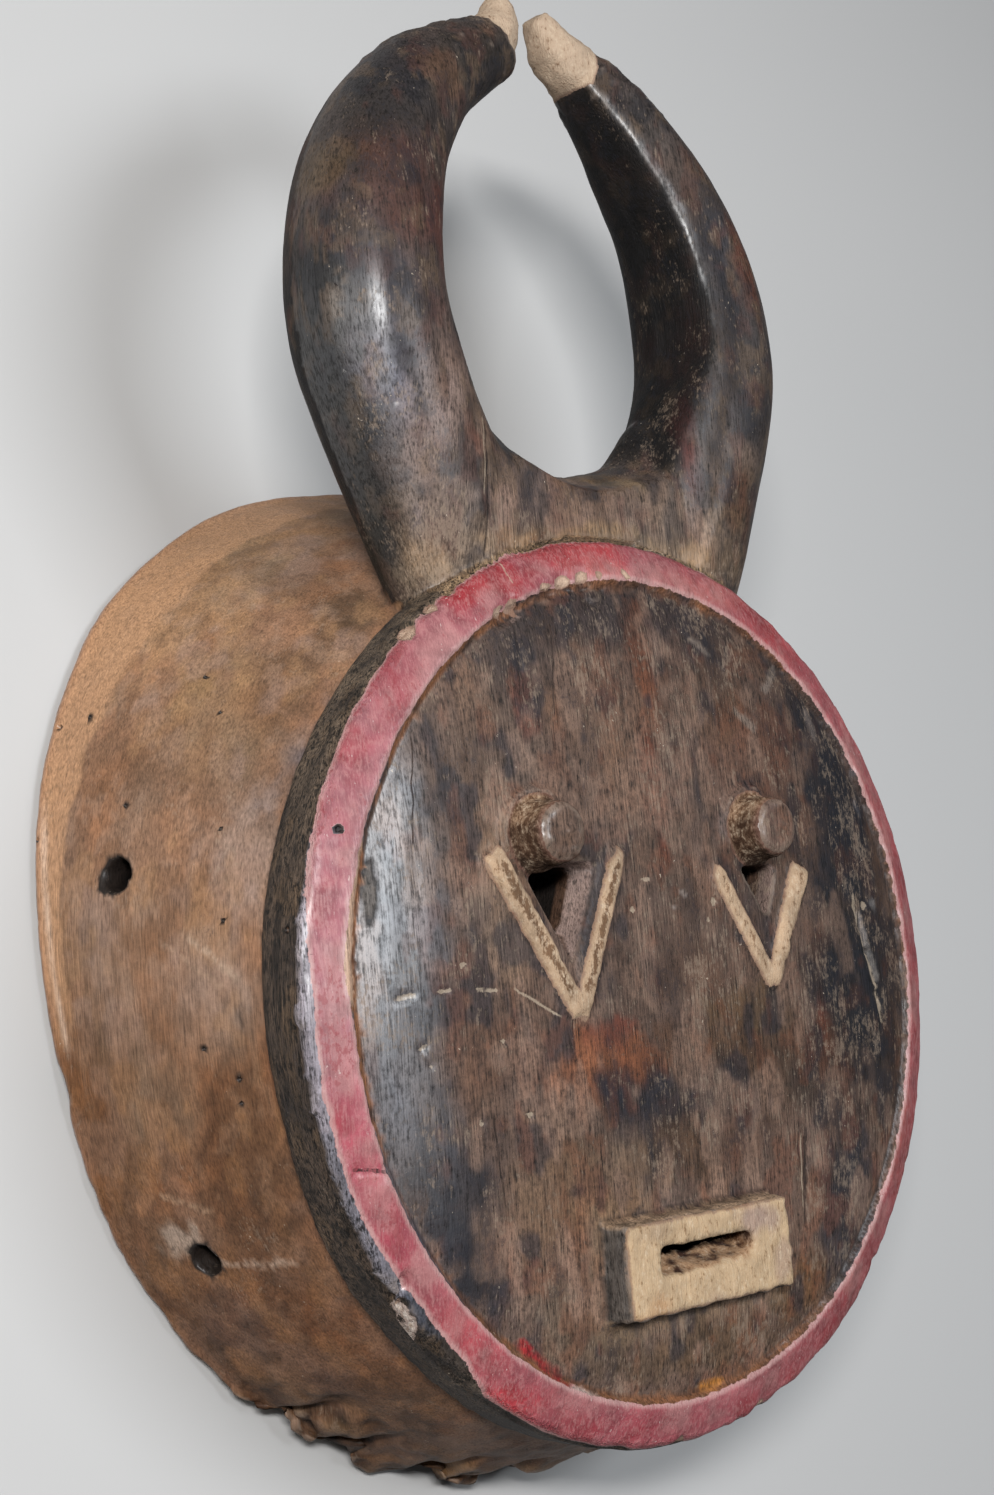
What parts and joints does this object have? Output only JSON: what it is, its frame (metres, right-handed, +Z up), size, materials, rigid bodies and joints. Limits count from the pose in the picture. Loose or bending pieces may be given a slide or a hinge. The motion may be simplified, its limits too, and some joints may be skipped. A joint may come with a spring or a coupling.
{
  "type": "goli mask",
  "caption": "Carved wooden mask with a round banded face plate, peg eyes over raised V arms, a slotted block mouth and two horns curving in to meet, hollow behind",
  "frame": {"origin": "on the surface that the mask lies on, under the middle of its bounding box", "axes": "+X to the right and +Y towards the horns when looking down on the face, +Z up out of the face; the rear rim lies level at Z = 0"},
  "size_m": [0.2946, 0.4546, 0.129],
  "materials": {
    "carved_wood": "dark grey-brown stained and worn wood, rubbed red paint on the band, bare tan wood on the shell behind, satin sheen from handling"
  },
  "bodies": {
    "root": {"goli_mask": "carved_wood"}
  },
  "joints": []
}
